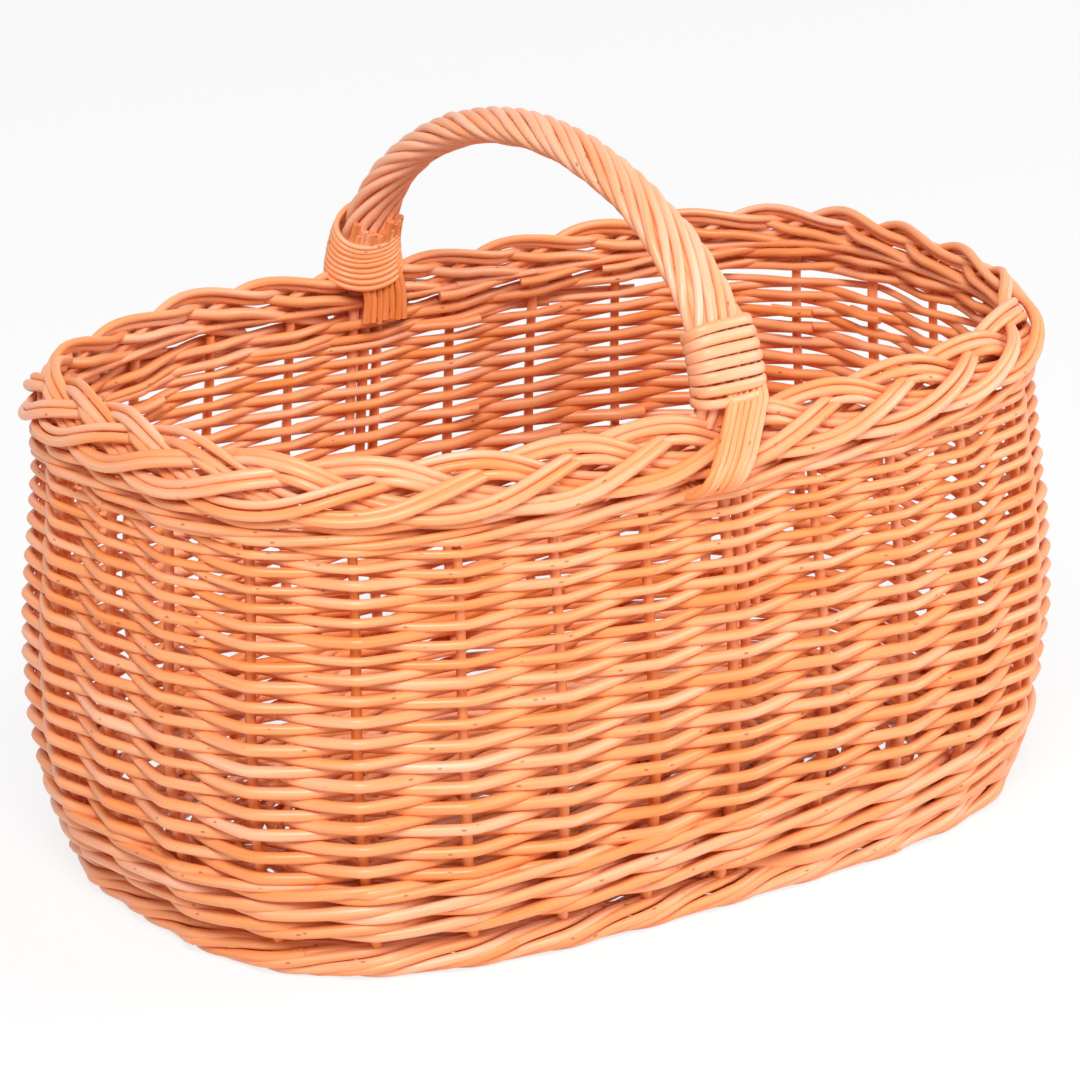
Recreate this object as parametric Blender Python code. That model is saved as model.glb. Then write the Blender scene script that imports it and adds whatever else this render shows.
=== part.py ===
# Oval mushroom foraging basket of peeled willow, with a fixed arched handle.
# Metres, +Z up. The origin is at the middle of the footprint, on the ground.
# X runs along the oval and the handle arches over it in the YZ plane.
import math

import bmesh
import bpy
import numpy as np

# Driving sizes of the whole basket
BORDER_LENGTH = 0.450
BORDER_WIDTH = 0.294
BORDER_TOP = 0.222
BORDER_OVERHANG_AT_ENDS = 0.01275
BORDER_OVERHANG_AT_SIDES = 0.013
HANDLE_TOP = 0.316
OVAL_POWER = 3.1
CLEARANCE = 0.00045
CUT_OVERRUN = 0.010

# Line of the stakes at four levels of the wall
HEEL_LEVEL = 0.012
HEEL_LENGTH = 0.402
HEEL_WIDTH = 0.260
SHOULDER_LEVEL = 0.050
SHOULDER_LENGTH = 0.428
SHOULDER_WIDTH = 0.279
BELLY_LEVEL = 0.120
BELLY_LENGTH = 0.434
BELLY_WIDTH = 0.283
RIM_LEVEL = 0.190
RIM_LENGTH = BORDER_LENGTH - 2 * BORDER_OVERHANG_AT_ENDS
RIM_WIDTH = BORDER_WIDTH - 2 * BORDER_OVERHANG_AT_SIDES

# Stakes, and the two bow ends that stand beside the stakes under the handle
STAKES = 28
STAKE_RADIUS = 0.0024
STAKE_TIP_RADIUS = 0.0018
STAKE_TOP_LEVEL = 0.1940
STAKE_STEPS = 5
STAKE_STEP_POWER = 1.7
BOW_END_RADIUS = 0.0026

# Weaving of the wall, one rod after another up one long spiral
WEAVE_END = 0.1905
FOOT_WALE_TURNS = 4
SIDE_WEAVERS = 7
SIDE_WEAVER_TURNS = 3
TOP_WALE_TURNS = 2
FIRST_TO_LAST_PITCH_SHARE = 1.35
ROD_TO_PITCH_SHARE = 0.448
ROD_FLAT_SHARE = math.cos(math.pi / 4)

# Plaited border
PLAIT_SLANT = math.radians(52)
PLAIT_BAND_WIDTH = 0.032
PLAIT_STRANDS = 4
PLAIT_STRAND_WIDTH = 0.0080
PLAIT_STRAND_THICKNESS = 0.0038
PLAIT_DEPTH = 0.0040
PLAIT_STEPS_PER_CYCLE = 10

# Foot border, a two-strand rope that the basket stands on
FOOT_STRAND_RADIUS = 0.0025
FOOT_TWISTS_PER_LAP = 12.5
FOOT_STEPS_PER_TWIST = 6
FOOT_SIDES = 5
FOOT_FLAT_DEPTH = 0.0009

# Woven base
BASE_STICK_RADIUS = 0.0027
BASE_WEAVER_RADIUS = 0.0023
BASE_TURNS = 7
BASE_TURN_PITCH = 0.0112
BASE_GROUND_GAP = 0.0022
BASE_STICK_SIDES = 4
BASE_SLOPE_SHARE = 1.06
LONG_STICK_SPACING = 0.015
CROSS_STICKS = 5
CROSS_STICK_SPACING = 0.045
SLATH_LENGTH = 0.210
SLATH_WIDTH = 0.044

# Handle
HANDLE_POWER = 1.9
BOW_RADIUS = 0.0039
WRAPS = 8
WRAP_RADIUS = 0.0025
WRAP_TURNS = 1.25
WRAP_FOOT_GAP = 0.0042
HANDLE_STEPS = 18
BOW_END_LEVEL = 0.105
BOW_END_STEPS = 4
BOW_ROOM_SIDES = 8

# Binding collars
FRONT_COLLAR_TURNS = 6
FRONT_SKEIN_WIDTH = 0.0046
FRONT_SKEIN_THICKNESS = 0.0022
BACK_COLLAR_TURNS = 10
BACK_SKEIN_WIDTH = 0.0026
BACK_SKEIN_THICKNESS = 0.0026
SKEIN_GAP = 0.0005
COLLAR_BEND_SHARE = 0.82
COLLAR_RISE = 0.004
COLLAR_STEPS_PER_TURN = 12

# Lashing bands, seven rods side by side
LASHING_RODS = 7
LASHING_ROD_WIDTH = 0.0034
LASHING_THICKNESS = 0.0036
LASHING_VALLEY_SHARE = 0.17
PLAIT_PRESSED_SHARE = 0.92

SMOOTH_ANGLE = math.radians(50)
CURVE_SAMPLES = 1440


def clear_scene():
    for thing in list(bpy.data.objects):
        bpy.data.objects.remove(thing, do_unlink=True)


def willow(name, colour, roughness):
    material = bpy.data.materials.new(name)
    material.use_nodes = True
    shader = material.node_tree.nodes["Principled BSDF"]
    shader.inputs["Base Color"].default_value = (*colour, 1)
    shader.inputs["Roughness"].default_value = roughness
    material.diffuse_color = (*colour, 1)
    return material


def unit(vectors):
    return vectors / np.linalg.norm(vectors, axis=-1, keepdims=True)


# Making solids


def rod(name, points, radius, material, level=1, twist="Z_UP"):
    """A round rod: a bevelled curve with filled caps. The radius may change from point to point."""
    points = np.asarray(points)
    radii = np.broadcast_to(radius, len(points))
    curve = bpy.data.curves.new(name, "CURVE")
    curve.dimensions = "3D"
    curve.twist_mode = twist
    curve.bevel_depth = float(radii.max())
    curve.bevel_resolution = level
    curve.use_fill_caps = True
    spline = curve.splines.new("POLY")
    spline.points.add(len(points) - 1)
    for target, place, size in zip(spline.points, points, radii):
        target.co = (*place, 1)
        target.radius = size / radii.max()
    spline.use_smooth = True
    curve.materials.append(material)
    thing = bpy.data.objects.new(name, curve)
    bpy.context.collection.objects.link(thing)
    return thing


def sweep(name, points, normals, outline, material, closed=False):
    """A mesh whose outline follows the points. The outline is (across, out) pairs, out along the normals."""
    points = np.asarray(points)
    if closed:
        ahead = np.roll(points, -1, axis=0) - np.roll(points, 1, axis=0)
    else:
        ahead = np.gradient(points, axis=0)
    tangents = unit(ahead)
    across = unit(np.cross(tangents, normals))
    out = np.cross(across, tangents)
    mesh = bmesh.new()
    rings = []
    for place, side, up in zip(points, across, out):
        rings.append([mesh.verts.new(place + side * a + up * b) for a, b in outline])
    count = len(outline)
    joins = list(zip(rings, rings[1:]))
    if closed:
        joins.append((rings[-1], rings[0]))
    for first, second in joins:
        for i in range(count):
            j = (i + 1) % count
            mesh.faces.new((first[i], first[j], second[j], second[i]))
    if not closed:
        mesh.faces.new(rings[0][::-1])
        mesh.faces.new(rings[-1])
    bmesh.ops.recalc_face_normals(mesh, faces=mesh.faces)
    if mesh.calc_volume(signed=True) < 0:
        bmesh.ops.reverse_faces(mesh, faces=mesh.faces)
    data = bpy.data.meshes.new(name)
    mesh.to_mesh(data)
    mesh.free()
    data.shade_smooth()
    data.set_sharp_from_angle(angle=SMOOTH_ANGLE)
    data.materials.append(material)
    thing = bpy.data.objects.new(name, data)
    bpy.context.collection.objects.link(thing)
    return thing


def as_cutter(thing):
    thing.hide_render = True
    thing.display_type = "WIRE"
    return thing


def cut(thing, cutter):
    modifier = thing.modifiers.new("cut", "BOOLEAN")
    modifier.operation = "DIFFERENCE"
    modifier.solver = "EXACT"
    modifier.object = cutter


def join(thing, others):
    for other in others:
        modifier = thing.modifiers.new("join", "BOOLEAN")
        modifier.operation = "UNION"
        modifier.solver = "EXACT"
        modifier.object = as_cutter(other)


def oval_outline(width, thickness, corner_share=0.6):
    """Six points of a flattened rod, widest at its middle."""
    half = width / 2
    corner = half * corner_share
    high = thickness / 2
    return [(half, 0), (corner, high), (-corner, high), (-half, 0), (-corner, -high), (corner, -high)]


def round_outline(radius, sides):
    """A regular outline with one corner straight down."""
    turns = np.arange(sides) * 2 * math.pi / sides - math.pi / 2
    return [(radius * math.cos(t), radius * math.sin(t)) for t in turns]


# The oval and the wall


def oval(half_length, half_width, angle):
    cosine, sine = np.cos(angle), np.sin(angle)
    bend = 2 / OVAL_POWER
    x = half_length * np.sign(cosine) * np.abs(cosine) ** bend
    y = half_width * np.sign(sine) * np.abs(sine) ** bend
    return np.stack([x, y], axis=-1)


def oval_normal(half_length, half_width, angle):
    cosine, sine = np.cos(angle), np.sin(angle)
    bend = 2 - 2 / OVAL_POWER
    x = np.sign(cosine) * np.abs(cosine) ** bend / half_length
    y = np.sign(sine) * np.abs(sine) ** bend / half_width
    return unit(np.stack([x, y], axis=-1))


SWEEP_ANGLES = np.linspace(-math.pi / 2, 1.5 * math.pi, CURVE_SAMPLES + 1)
BELLY_STEPS = np.linalg.norm(np.diff(oval(BELLY_LENGTH / 2, BELLY_WIDTH / 2, SWEEP_ANGLES), axis=0), axis=1)
BELLY_REACH = np.concatenate([[0], np.cumsum(BELLY_STEPS)])
BELLY_GIRTH = BELLY_REACH[-1]


def angle_at(share):
    """Angle on the oval after this share of the way round, from the front foot of the handle."""
    return np.interp(np.mod(share, 1.0) * BELLY_GIRTH, BELLY_REACH, SWEEP_ANGLES)


FOOT_ROPE_RADIUS = FOOT_STRAND_RADIUS + CLEARANCE
FOOT_LEVEL = FOOT_ROPE_RADIUS + FOOT_STRAND_RADIUS - FOOT_FLAT_DEPTH
FOOT_TOP = FOOT_LEVEL + FOOT_ROPE_RADIUS + FOOT_STRAND_RADIUS
STAKE_FOOT_LEVEL = FOOT_TOP + CLEARANCE
STAKE_RISES = np.linspace(0, 1, STAKE_STEPS + 1) ** STAKE_STEP_POWER
STAKE_LEVELS = STAKE_FOOT_LEVEL + (STAKE_TOP_LEVEL - STAKE_FOOT_LEVEL) * STAKE_RISES


def along_stake(sizes):
    """The oval's size at each bend of a stake, on a smooth curve through its size at the four named levels."""
    levels = [HEEL_LEVEL, SHOULDER_LEVEL, BELLY_LEVEL, RIM_LEVEL]
    return np.polyval(np.polyfit(levels, sizes, 3), STAKE_LEVELS)


STAKE_LENGTHS = along_stake([HEEL_LENGTH, SHOULDER_LENGTH, BELLY_LENGTH, RIM_LENGTH])
STAKE_WIDTHS = along_stake([HEEL_WIDTH, SHOULDER_WIDTH, BELLY_WIDTH, RIM_WIDTH])


def wall(share, level, offset=0.0):
    """Points on the surface that the stakes lie in, moved out by the offset."""
    half_length = np.interp(level, STAKE_LEVELS, STAKE_LENGTHS) / 2
    half_width = np.interp(level, STAKE_LEVELS, STAKE_WIDTHS) / 2
    angle = angle_at(share)
    place = oval(half_length, half_width, angle)
    place = place + oval_normal(half_length, half_width, angle) * np.expand_dims(offset, -1)
    return np.concatenate([place, np.expand_dims(level + 0 * angle, -1)], axis=-1)


PAIR_HALF_SHARE = (STAKE_RADIUS + BOW_END_RADIUS + 2 * CLEARANCE) / 2 / BELLY_GIRTH
STAKE_PITCH = BELLY_GIRTH / STAKES


def stake_share(index):
    under_handle = index in (0, STAKES // 2)
    return index / STAKES - (PAIR_HALF_SHARE if under_handle else 0)


def make_stakes(material):
    radii = np.linspace(STAKE_RADIUS, STAKE_TIP_RADIUS, STAKE_STEPS + 1)
    for index in range(STAKES):
        points = wall(np.full(STAKE_STEPS + 1, stake_share(index)), STAKE_LEVELS)
        rod(f"stake_{index + 1:02d}", points, radii, material, level=0, twist="MINIMUM")


# Weaving of the wall

WEAVE_TURNS = FOOT_WALE_TURNS + SIDE_WEAVERS * SIDE_WEAVER_TURNS + TOP_WALE_TURNS
MEAN_PITCH_SHARE = (1 + FIRST_TO_LAST_PITCH_SHARE) / 2
PITCH_SHARES = FIRST_TO_LAST_PITCH_SHARE * ROD_TO_PITCH_SHARE + WEAVE_TURNS * MEAN_PITCH_SHARE
LAST_PITCH = (WEAVE_END - STAKE_FOOT_LEVEL) / PITCH_SHARES
FIRST_PITCH = FIRST_TO_LAST_PITCH_SHARE * LAST_PITCH
WEAVE_START = STAKE_FOOT_LEVEL + ROD_TO_PITCH_SHARE * FIRST_PITCH


def weave_level(turn):
    return WEAVE_START + FIRST_PITCH * turn + (LAST_PITCH - FIRST_PITCH) * turn**2 / (2 * WEAVE_TURNS)


def weave_radius(turn):
    return ROD_TO_PITCH_SHARE * (FIRST_PITCH + (LAST_PITCH - FIRST_PITCH) * turn / WEAVE_TURNS)


def goes_outside(turn, stake):
    """Waling passes outside two stakes and inside one. Between the wales each rod takes turns."""
    in_wale = turn < FOOT_WALE_TURNS or turn >= WEAVE_TURNS - TOP_WALE_TURNS
    if in_wale:
        return (turn + stake) % 3 != 0
    return (turn + stake) % 2 == 0


def weave_stations():
    """Every crossing up the wall: its turn as a share, and how far out the rod lies there."""
    travel, offsets = [], []
    for turn in range(WEAVE_TURNS):
        for stake in range(STAKES):
            under_handle = stake in (0, STAKES // 2)
            shares = [stake / STAKES]
            upright = STAKE_RADIUS
            if under_handle:
                shares = [stake / STAKES - PAIR_HALF_SHARE, stake / STAKES + PAIR_HALF_SHARE]
                upright = BOW_END_RADIUS
            for share in shares:
                reach = upright + weave_radius(turn + share) + CLEARANCE
                slope = 2 * reach / STAKE_PITCH
                reach *= math.hypot(1, slope)
                travel.append(turn + share)
                offsets.append(reach if goes_outside(turn, stake) else -reach)
    return np.array(travel), np.array(offsets)


TRAVEL, OFFSETS = weave_stations()


def weave(name, first_turn, last_turn, material):
    """One rod of the wall's spiral. It starts and ends at a cut beside the handle's back foot."""
    cut_gap = CLEARANCE / BELLY_GIRTH
    start = max(first_turn + cut_gap, TRAVEL[0])
    end = min(last_turn - cut_gap, TRAVEL[-1])
    inside = (TRAVEL > start) & (TRAVEL < end)
    travel = np.concatenate([[start], TRAVEL[inside], [end]])
    offsets = np.interp(travel, TRAVEL, OFFSETS)
    points = wall(travel, weave_level(travel), offsets)
    rod(name, points, weave_radius(travel), material, level=0)


def make_weave(material, wale_material):
    turn = FOOT_WALE_TURNS
    weave("foot_waling", 0, turn, wale_material)
    for index in range(SIDE_WEAVERS):
        weave(f"side_weaver_{index + 1}", turn, turn + SIDE_WEAVER_TURNS, material)
        turn += SIDE_WEAVER_TURNS
    weave("top_waling", turn, WEAVE_TURNS, wale_material)


# Plaited border

PLAIT_SWING = (PLAIT_BAND_WIDTH - PLAIT_STRAND_WIDTH) / 2
PLAIT_DOWN = np.array([math.cos(PLAIT_SLANT), -math.sin(PLAIT_SLANT)])
PLAIT_OUT = np.array([math.sin(PLAIT_SLANT), math.cos(PLAIT_SLANT)])
PLAIT_CROSSING = math.pi / PLAIT_STRANDS


def plait_path(phase):
    """How far a strand lies down the border's face, and how far out of it. Going down it passes over one
    strand and under two. Going up it passes over two and under one."""
    down = PLAIT_SWING * np.sin(phase)
    out = -PLAIT_DEPTH * (np.cos(2 * phase) * np.cos(phase) + np.sin(2 * phase))
    return down, out


PATH_DOWN, PATH_OUT = plait_path(np.linspace(0, 2 * math.pi, CURVE_SAMPLES))
STRAND_HALF = np.array([PLAIT_STRAND_WIDTH, PLAIT_STRAND_THICKNESS]) / 2
PLAIT_EDGE_REACH = (PATH_DOWN * PLAIT_DOWN[0] + PATH_OUT * PLAIT_OUT[0]).max()
PLAIT_EDGE_REACH += STRAND_HALF @ (PLAIT_DOWN[0], PLAIT_OUT[0])
PLAIT_TOP_REACH = (PATH_DOWN * PLAIT_DOWN[1] + PATH_OUT * PLAIT_OUT[1]).max()
PLAIT_TOP_REACH += STRAND_HALF @ (-PLAIT_DOWN[1], PLAIT_OUT[1])
PLAIT_LEVEL = BORDER_TOP - PLAIT_TOP_REACH
PLAIT_HALF_LENGTH = BORDER_LENGTH / 2 - PLAIT_EDGE_REACH
PLAIT_HALF_WIDTH = BORDER_WIDTH / 2 - PLAIT_EDGE_REACH
PLAIT_HALF_THICKNESS = PATH_OUT.max() + PLAIT_STRAND_THICKNESS / 2


def plait_frame(share):
    """Centre of the border, and the directions down its face and out of it."""
    angle = angle_at(share)
    centre = oval(PLAIT_HALF_LENGTH, PLAIT_HALF_WIDTH, angle)
    normal = oval_normal(PLAIT_HALF_LENGTH, PLAIT_HALF_WIDTH, angle)
    centre = np.concatenate([centre, np.full((len(angle), 1), PLAIT_LEVEL)], axis=-1)

    def turned(direction):
        return np.concatenate([normal * direction[0], np.full((len(angle), 1), direction[1])], axis=-1)

    return centre, turned(PLAIT_DOWN), turned(PLAIT_OUT)


def make_plait(material, bow_cutters):
    """Four strands that cross once for each stake. Each goes once round, and the bow passes between them."""
    cycles = STAKES // PLAIT_STRANDS
    laps = np.arange(cycles * PLAIT_STEPS_PER_CYCLE) / (cycles * PLAIT_STEPS_PER_CYCLE)
    centre, down, out = plait_frame(laps)
    outline = oval_outline(PLAIT_STRAND_WIDTH, PLAIT_STRAND_THICKNESS)
    for strand in range(PLAIT_STRANDS):
        turn = cycles * (laps - PAIR_HALF_SHARE) + strand / PLAIT_STRANDS
        path_down, path_out = plait_path(2 * math.pi * turn + PLAIT_CROSSING)
        points = centre + down * path_down[:, None] + out * path_out[:, None]
        name = "plaited_border" if strand == 0 else f"plaited_border_{strand + 1}"
        plait = sweep(name, points, out, outline, material, closed=True)
        for cutter in bow_cutters:
            cut(plait, cutter)


# Foot border


def make_foot(material):
    """A rope of two strands that are one rod, which closes after two laps. Its underside is cut flat."""
    steps = int(2 * FOOT_TWISTS_PER_LAP * FOOT_STEPS_PER_TWIST)
    laps = 2 * np.arange(steps) / steps
    phase = 2 * math.pi * FOOT_TWISTS_PER_LAP * laps - math.pi / 2
    angle = angle_at(laps)
    centre = oval(HEEL_LENGTH / 2, HEEL_WIDTH / 2, angle)
    normal = oval_normal(HEEL_LENGTH / 2, HEEL_WIDTH / 2, angle)
    flat = centre + normal * (FOOT_ROPE_RADIUS * np.cos(phase))[:, None]
    level = FOOT_LEVEL + FOOT_ROPE_RADIUS * np.sin(phase)
    points = np.concatenate([flat, level[:, None]], axis=-1)
    upward = np.tile([0.0, 0.0, 1.0], (steps, 1))
    outline = round_outline(FOOT_STRAND_RADIUS, FOOT_SIDES)
    foot = sweep("foot_border", points, upward, outline, material, closed=True)
    cut(foot, make_ground_cutter())


def make_ground_cutter():
    """A slab below the ground, as large as the basket."""
    mesh = bmesh.new()
    bmesh.ops.create_cube(mesh, size=1)
    bmesh.ops.scale(mesh, vec=(BORDER_LENGTH, BORDER_WIDTH, CUT_OVERRUN), verts=mesh.verts)
    bmesh.ops.translate(mesh, vec=(0, 0, -CUT_OVERRUN / 2), verts=mesh.verts)
    data = bpy.data.meshes.new("ground_cutter")
    mesh.to_mesh(data)
    mesh.free()
    ground = bpy.data.objects.new("ground_cutter", data)
    bpy.context.collection.objects.link(ground)
    return as_cutter(ground)


# Base

BASE_WEAVER_REACH = BASE_SLOPE_SHARE * (BASE_STICK_RADIUS + BASE_WEAVER_RADIUS + CLEARANCE)
BASE_LEVEL = BASE_GROUND_GAP + BASE_WEAVER_REACH + BASE_WEAVER_RADIUS
WALE_INNER_REACH = STAKE_RADIUS + (1 + ROD_FLAT_SHARE) * weave_radius(0)
BASE_HALF_LENGTH = HEEL_LENGTH / 2 - WALE_INNER_REACH
BASE_HALF_WIDTH = HEEL_WIDTH / 2 - WALE_INNER_REACH
FAN_SPREAD_SHARE = 0.5
CROSS_SPREAD_SHARE = 1.35
CORNER_SHARE = 0.86
ARM_SEARCH_SHARES = (-0.5, 1.2)
LONG_ROWS = (-1, 0, 1)
SIDES = (-1, 1)


def cross_arm(index, side):
    """Inner and outer end of half a short stick."""
    x = (index - (CROSS_STICKS - 1) / 2) * CROSS_STICK_SPACING
    return (x, side * SLATH_WIDTH / 2), (x * CROSS_SPREAD_SHARE, side * BASE_HALF_WIDTH)


def long_arm(row, side):
    """Inner and outer end of half a long stick. The outer rows fan out."""
    spread = row * FAN_SPREAD_SHARE * BASE_HALF_WIDTH
    return (side * SLATH_LENGTH / 2, row * LONG_STICK_SPACING), (side * BASE_HALF_LENGTH, spread)


def corner_arm(side, other):
    inner = (side * SLATH_LENGTH / 2, other * SLATH_WIDTH / 2)
    return inner, (side * BASE_HALF_LENGTH * CORNER_SHARE, other * BASE_HALF_WIDTH * CORNER_SHARE)


def base_arms():
    """The half sticks and the corners between them, in order round the oval, and if a stick is there."""
    arms = []
    for side in SIDES:
        arms += [(*cross_arm(index, side), True) for index in range(CROSS_STICKS)]
        arms += [(*long_arm(row, side), True) for row in LONG_ROWS]
        arms += [(*corner_arm(side, other), False) for other in SIDES]
    return sorted(arms, key=lambda arm: math.atan2(arm[1][1], arm[1][0]))


def meets(arm, half_length, half_width):
    """Where the arm crosses an oval of these half sizes."""
    inner, outer = np.array(arm[0]), np.array(arm[1])
    along = np.linspace(*ARM_SEARCH_SHARES, CURVE_SAMPLES)
    places = inner + (outer - inner) * along[:, None]
    inside = (np.abs(places / (half_length, half_width)) ** OVAL_POWER).sum(axis=1)
    first = np.argmin(inside)
    share = np.interp(1.0, inside[first:], along[first:])
    return inner + (outer - inner) * share


def stick_tip(arm):
    return meets(arm, BASE_HALF_LENGTH, BASE_HALF_WIDTH)


def make_base_sticks(material):
    """Long and cross sticks, pierced through each other at the middle into one slath."""
    pairs = [[cross_arm(index, side) for side in SIDES] for index in range(CROSS_STICKS)]
    pairs += [[long_arm(row, side) for side in SIDES] for row in LONG_ROWS]
    outline = round_outline(BASE_STICK_RADIUS, BASE_STICK_SIDES)
    made = []
    for index, (near, far) in enumerate(pairs):
        route = [stick_tip(near), near[0], far[0], stick_tip(far)]
        points = np.array([(x, y, BASE_LEVEL) for x, y in route])
        upward = np.tile([0.0, 0.0, 1.0], (len(points), 1))
        name = "base_sticks" if index == 0 else f"base_stick_{index}"
        made.append(sweep(name, points, upward, outline, material))
    join(made[0], made[1:])


def make_base_weaver(material):
    """One rod that spirals in from the edge, over and under the sticks in turn."""
    arms = base_arms()
    edge_inset = BASE_WEAVER_RADIUS + CLEARANCE
    points = []
    for turn in range(BASE_TURNS):
        crossed = 0
        for index, arm in enumerate(arms):
            inset = edge_inset + BASE_TURN_PITCH * (turn + index / len(arms))
            place = meets(arm, BASE_HALF_LENGTH - inset, BASE_HALF_WIDTH - inset)
            over = 0
            if arm[2]:
                over = BASE_WEAVER_REACH if (turn + crossed) % 2 == 0 else -BASE_WEAVER_REACH
                crossed += 1
            points.append((*place, BASE_LEVEL + over))
    rod("base_weaver", points, BASE_WEAVER_RADIUS, material, level=0)


# Handle

WRAP_RING_RADIUS = BOW_RADIUS + WRAP_RADIUS + CLEARANCE
BUNDLE_RADIUS = WRAP_RING_RADIUS + WRAP_RADIUS
HANDLE_HALF_SPAN = PLAIT_HALF_WIDTH
HANDLE_SPRING = BORDER_TOP
HANDLE_RISE = HANDLE_TOP - BUNDLE_RADIUS - HANDLE_SPRING
BOW_LEAN = PAIR_HALF_SHARE * BELLY_GIRTH


def arch(turn):
    """Point of the handle's middle line, with turn 0 at the front foot and 1 at the back foot."""
    angle = math.pi * np.asarray(turn)
    bend = 2 / HANDLE_POWER
    across = np.sign(np.cos(angle)) * np.abs(np.cos(angle)) ** bend
    y = -HANDLE_HALF_SPAN * across
    z = HANDLE_SPRING + HANDLE_RISE * np.abs(np.sin(angle)) ** bend
    return np.stack([BOW_LEAN * across, y, z], axis=-1)


def handle_line():
    """Evenly spaced points of the arch, and the directions out of its curve."""
    dense = arch(np.linspace(0, 1, CURVE_SAMPLES))
    reach = np.concatenate([[0], np.cumsum(np.linalg.norm(np.diff(dense, axis=0), axis=1))])
    wanted = np.linspace(WRAP_FOOT_GAP, reach[-1] - WRAP_FOOT_GAP, HANDLE_STEPS + 1)
    line = np.stack([np.interp(wanted, reach, dense[:, i]) for i in range(3)], axis=-1)
    tangents = unit(np.gradient(line, axis=0))
    sideways = np.tile([1.0, 0.0, 0.0], (len(line), 1))
    return line, unit(np.cross(sideways, tangents)), wanted - wanted[0]


HANDLE_LINE, HANDLE_OUT, HANDLE_REACH = handle_line()
HANDLE_SIDE = np.array([1.0, 0.0, 0.0])


def bow_route():
    """Down the wall beside the front stake, over the arch, and down the wall at the back."""
    levels = np.linspace(BOW_END_LEVEL, RIM_LEVEL, BOW_END_STEPS)
    front = wall(np.full(BOW_END_STEPS, PAIR_HALF_SHARE), levels)
    back = front[::-1] * np.array([-1, -1, 1])
    points = np.concatenate([front, HANDLE_LINE, back])
    radii = np.full(len(points), BOW_RADIUS)
    radii[: BOW_END_STEPS + 1] = BOW_END_RADIUS
    radii[-BOW_END_STEPS - 1 :] = BOW_END_RADIUS
    return points, radii


def make_bow(material):
    points, radii = bow_route()
    rod("handle_bow", points, radii, material, twist="MINIMUM")


def make_bow_cutters(material):
    """Room for the bow through the border, at each foot."""
    points, _ = bow_route()
    outline = round_outline(BOW_END_RADIUS + CLEARANCE, BOW_ROOM_SIDES)
    cutters = []
    for name, route in (("front_bow_room", points), ("back_bow_room", points[::-1])):
        through = route[BOW_END_STEPS - 2 : BOW_END_STEPS + 2]
        sideways = np.tile(HANDLE_SIDE, (len(through), 1))
        cutters.append(as_cutter(sweep(name, through, sideways, outline, material)))
    return cutters


def make_wraps(material):
    """Rods laid side by side round the bow in a long spiral."""
    for index in range(WRAPS):
        angle = 2 * math.pi * (index / WRAPS + WRAP_TURNS * HANDLE_REACH / HANDLE_REACH[-1])
        points = HANDLE_LINE + WRAP_RING_RADIUS * (
            np.cos(angle)[:, None] * HANDLE_OUT + np.sin(angle)[:, None] * HANDLE_SIDE
        )
        rod(f"handle_wrap_{index + 1}", points, WRAP_RADIUS, material, twist="MINIMUM")


# Binding collars


def make_collar(name, turns, width, thickness, from_back, material):
    """A skein wound round the bundle from just above the border, each turn beside the last."""
    pitch = (width + SKEIN_GAP) / COLLAR_BEND_SHARE
    steps = turns * COLLAR_STEPS_PER_TURN
    turn = np.arange(steps + 1) / COLLAR_STEPS_PER_TURN
    reach = COLLAR_RISE + pitch * turn
    if from_back:
        reach = HANDLE_REACH[-1] - reach
    centre = np.stack([np.interp(reach, HANDLE_REACH, HANDLE_LINE[:, i]) for i in range(3)], axis=-1)
    outward = unit(np.stack([np.interp(reach, HANDLE_REACH, HANDLE_OUT[:, i]) for i in range(3)], axis=-1))
    angle = 2 * math.pi * turn
    normals = np.cos(angle)[:, None] * outward + np.sin(angle)[:, None] * HANDLE_SIDE
    sag = 1 / math.cos(math.pi / COLLAR_STEPS_PER_TURN)
    points = centre + normals * (BUNDLE_RADIUS + CLEARANCE + thickness / 2) * sag
    sweep(name, points, normals, oval_outline(width, thickness), material)
    later = points[COLLAR_STEPS_PER_TURN:]
    nearest = np.linalg.norm(later - points[:-COLLAR_STEPS_PER_TURN], axis=1).min()
    print(f"{name}: least gap between its turns {nearest - width:.5f} m")


# Lashing bands


def lashing_outline():
    """Rods side by side: flat underneath, one bump for each rod on top."""
    width = LASHING_RODS * LASHING_ROD_WIDTH
    valley = LASHING_THICKNESS * LASHING_VALLEY_SHARE
    crown = LASHING_THICKNESS / 2
    points = [(-width / 2, -crown), (width / 2, -crown)]
    for index in range(LASHING_RODS):
        right = width / 2 - index * LASHING_ROD_WIDTH
        points.append((right, valley))
        points.append((right - LASHING_ROD_WIDTH / 2, crown))
    points.append((-width / 2, valley))
    return points


# Each step of a route is (down the border's face, out of it), the first as a share of the band's
# half width and the second as a share of the distance at which a band clears the plait.
OUTER_ROUTE_SHARES = [
    (-0.40, 1.6), (-0.02, 1.16), (0.35, 1.0), (0.80, 1.0), (1.10, 0.72), (1.22, 0.30), (1.20, -0.15)
]
INNER_ROUTE_SHARES = [(-1.33, 0.05), (-1.30, -0.35), (-1.12, -0.8), (-0.85, -1.0), (-0.30, -1.0), (0.1, -1.0)]


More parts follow.
